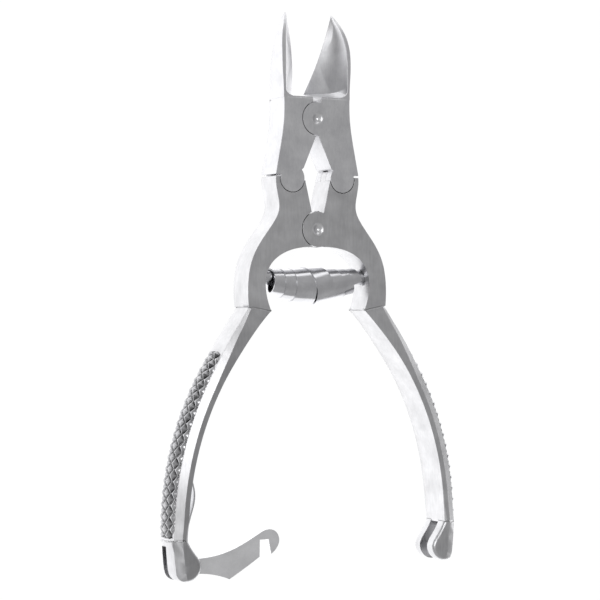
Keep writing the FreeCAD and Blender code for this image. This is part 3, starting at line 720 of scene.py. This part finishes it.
for vertex in wound.vertices:
    depth, up_by, along = vertex.co / MM
    slope = 2 * spring_sag * along / arch_half_span ** 2
    axis_y = -spring_drop - spring_sag * (1 - (along / arch_half_span) ** 2)
    vertex.co = Vector((along - slope * up_by, axis_y + up_by, joint_middle + depth)) * MM
skin = bmesh.new()
skin.from_mesh(wound)
bmesh.ops.recalc_face_normals(skin, faces=skin.faces)
skin.to_mesh(wound)
skin.free()
for face in wound.polygons:
    face.use_smooth = True
wound.set_sharp_from_angle(angle=math.radians(40))
barrel = bpy.data.objects.new("wound_barrel_spring", wound)
bpy.context.scene.collection.objects.link(barrel)
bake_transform(barrel)
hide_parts("barrel_spring")


# Floor, light and camera
# A plain white table under soft studio light, seen from the front left and a little turned.
# The table is lit by the lamps, and lifted to white for the camera and for reflections.

white_table = bpy.data.materials.new("white_table")
white_table.use_nodes = True
table_tree = white_table.node_tree
table_tree.nodes.remove(table_tree.nodes["Principled BSDF"])
paper = add_node(table_tree, "ShaderNodeBsdfDiffuse", inputs={"Color": linear("#f4f4f4")})
ray = add_node(table_tree, "ShaderNodeLightPath")
seen = add_node(
    table_tree, "ShaderNodeMath", {"operation": "MAXIMUM"},
    links={0: ray.outputs["Is Camera Ray"], 1: ray.outputs["Is Glossy Ray"]})
glare = add_node(
    table_tree, "ShaderNodeMapRange", inputs={"To Min": 1.1, "To Max": 1.8},
    links={"Value": ray.outputs["Is Glossy Ray"]})
glow = add_node(
    table_tree, "ShaderNodeEmission", inputs={"Color": (1, 1, 1, 1)},
    links={"Strength": glare.outputs["Result"]})
lifted = add_node(
    table_tree, "ShaderNodeMath", {"operation": "MULTIPLY"},
    inputs={1: 0.85}, links={0: seen.outputs["Value"]})
surface = add_node(
    table_tree, "ShaderNodeMixShader",
    links={0: lifted.outputs["Value"], 1: paper.outputs["BSDF"], 2: glow.outputs["Emission"]})
table_tree.links.new(
    surface.outputs["Shader"], table_tree.nodes["Material Output"].inputs["Surface"])

scene = bpy.context.scene
floor_mesh = bpy.data.meshes.new("table")
floor_reach, floor_gap = 3, 0.02 * MM
floor_level = cad_bounds[0][2] - floor_gap
corners = [
    (x * floor_reach, y * floor_reach, floor_level)
    for x, y in ((-1, -1), (1, -1), (1, 1), (-1, 1))]
floor_mesh.from_pydata(corners, [], [(0, 1, 2, 3)])
floor_mesh.materials.append(white_table)
floor = bpy.data.objects.new("table", floor_mesh)
scene.collection.objects.link(floor)

# Grey studio walls, a little darker where the front faces mirror them and at the far left
world = bpy.data.worlds.new("studio")
scene.world = world
world.use_nodes = True
sky = world.node_tree
background = sky.nodes["Background"]
direction = add_node(sky, "ShaderNodeTexCoord")
mirrored = add_node(
    sky, "ShaderNodeVectorMath", {"operation": "DOT_PRODUCT"},
    inputs={1: (0.5, -0.16, 0.851)}, links={0: direction.outputs["Generated"]})
walls = add_node(
    sky, "ShaderNodeMapRange", {"interpolation_type": "SMOOTHSTEP"},
    inputs={"From Min": 0.75, "From Max": 0.99, "To Min": 0.52, "To Max": 0.42},
    links={"Value": mirrored.outputs["Value"]})
leftwards = add_node(
    sky, "ShaderNodeVectorMath", {"operation": "DOT_PRODUCT"},
    inputs={1: (-0.99, 0.0, 0.12)}, links={0: direction.outputs["Generated"]})
black_flag = add_node(
    sky, "ShaderNodeMapRange", {"interpolation_type": "SMOOTHSTEP"},
    inputs={"From Min": 0.90, "From Max": 0.99, "To Min": 1.0, "To Max": 0.3},
    links={"Value": leftwards.outputs["Value"]})
flagged = add_node(
    sky, "ShaderNodeMath", {"operation": "MULTIPLY"},
    links={0: walls.outputs["Result"], 1: black_flag.outputs["Result"]})
sky.links.new(flagged.outputs["Value"], background.inputs["Color"])


def soft_lamp(name, place, aim, size, power):
    """Rectangular softbox at a place, turned to face its aim."""
    lamp = bpy.data.lights.new(name, "AREA")
    lamp.shape = "RECTANGLE"
    lamp.size, lamp.size_y = size
    lamp.energy = power
    holder = bpy.data.objects.new(name, lamp)
    holder.location = place
    holder.rotation_euler = (Vector(aim) - Vector(place)).to_track_quat("-Z", "Y").to_euler()
    scene.collection.objects.link(holder)


soft_lamp(
    "top left softbox", place=(-0.33, 0.20, 0.95), aim=(0, -0.02, 0), size=(0.45, 0.70), power=2.4)
soft_lamp(
    "far softbox", place=(0.35, 0.95, 0.22), aim=(0, 0, 0), size=(0.8, 0.35), power=1.0)

camera_turn, camera_roll = math.radians(30), math.radians(0.38)
camera_distance = 490 * MM
camera_aim = Vector((-3.16, -17.6, 3.75)) * MM
sensor_width, focal_pixels, picture_pixels = 36, 1960, 600
back = Vector((-math.sin(camera_turn), 0, math.cos(camera_turn)))
across = Vector((math.cos(camera_turn), 0, math.sin(camera_turn)))
up = Vector((0, 1, 0))
right = across * math.cos(camera_roll) - up * math.sin(camera_roll)
above = across * math.sin(camera_roll) + up * math.cos(camera_roll)
lens = bpy.data.cameras.new("camera")
lens.sensor_width = sensor_width
lens.lens = sensor_width * focal_pixels / picture_pixels
lens.clip_start = 0.01
camera = bpy.data.objects.new("camera", lens)
camera.matrix_world = Matrix.Translation(camera_aim + back * camera_distance) @ Matrix(
    (right, above, back)).transposed().to_4x4()
scene.collection.objects.link(camera)
scene.camera = camera
scene.view_settings.view_transform = "Standard"
